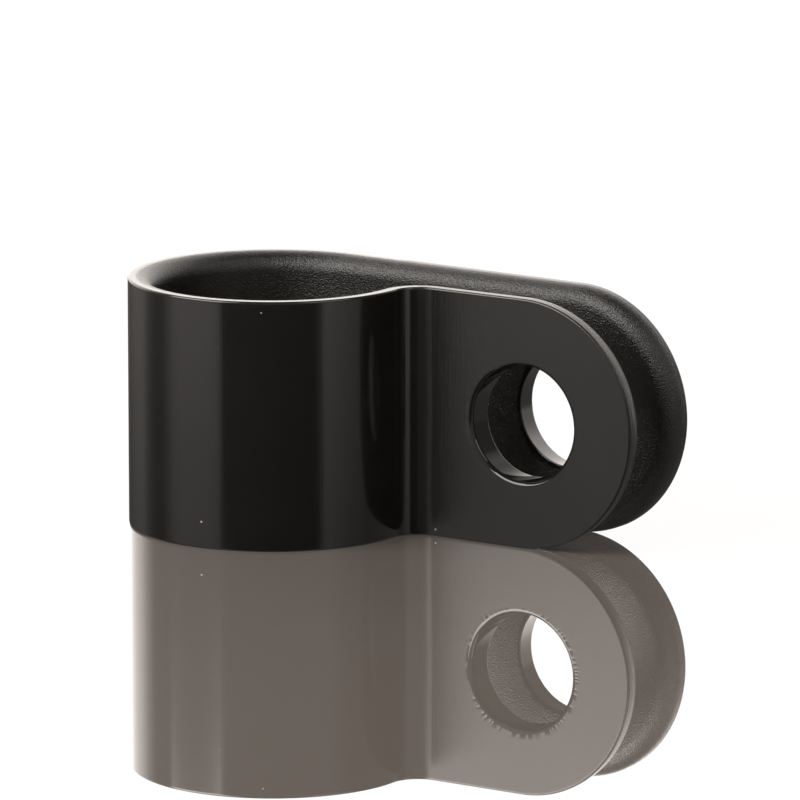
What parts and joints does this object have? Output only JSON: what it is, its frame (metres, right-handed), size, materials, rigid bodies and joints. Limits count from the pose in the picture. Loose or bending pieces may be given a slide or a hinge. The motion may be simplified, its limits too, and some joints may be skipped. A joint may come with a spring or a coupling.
{
  "type": "p clip",
  "caption": "One-piece moulded nylon P clip: a round cable loop whose strap runs out into two facing round-ended ears with a screw hole through both.",
  "frame": {"origin": "on the axis of the cable loop, in the middle of the strap's width", "axes": "+X from the loop towards the ears, +Y out of the fixing face of the rear ear along the screw, +Z along the cable"},
  "size_m": [0.0206, 0.011, 0.0096],
  "materials": {
    "nylon": "black moulded nylon, glossy outer faces, fine matte texture on the inner faces and edges"
  },
  "bodies": {
    "root": {"p_clip": "nylon"}
  },
  "joints": []
}
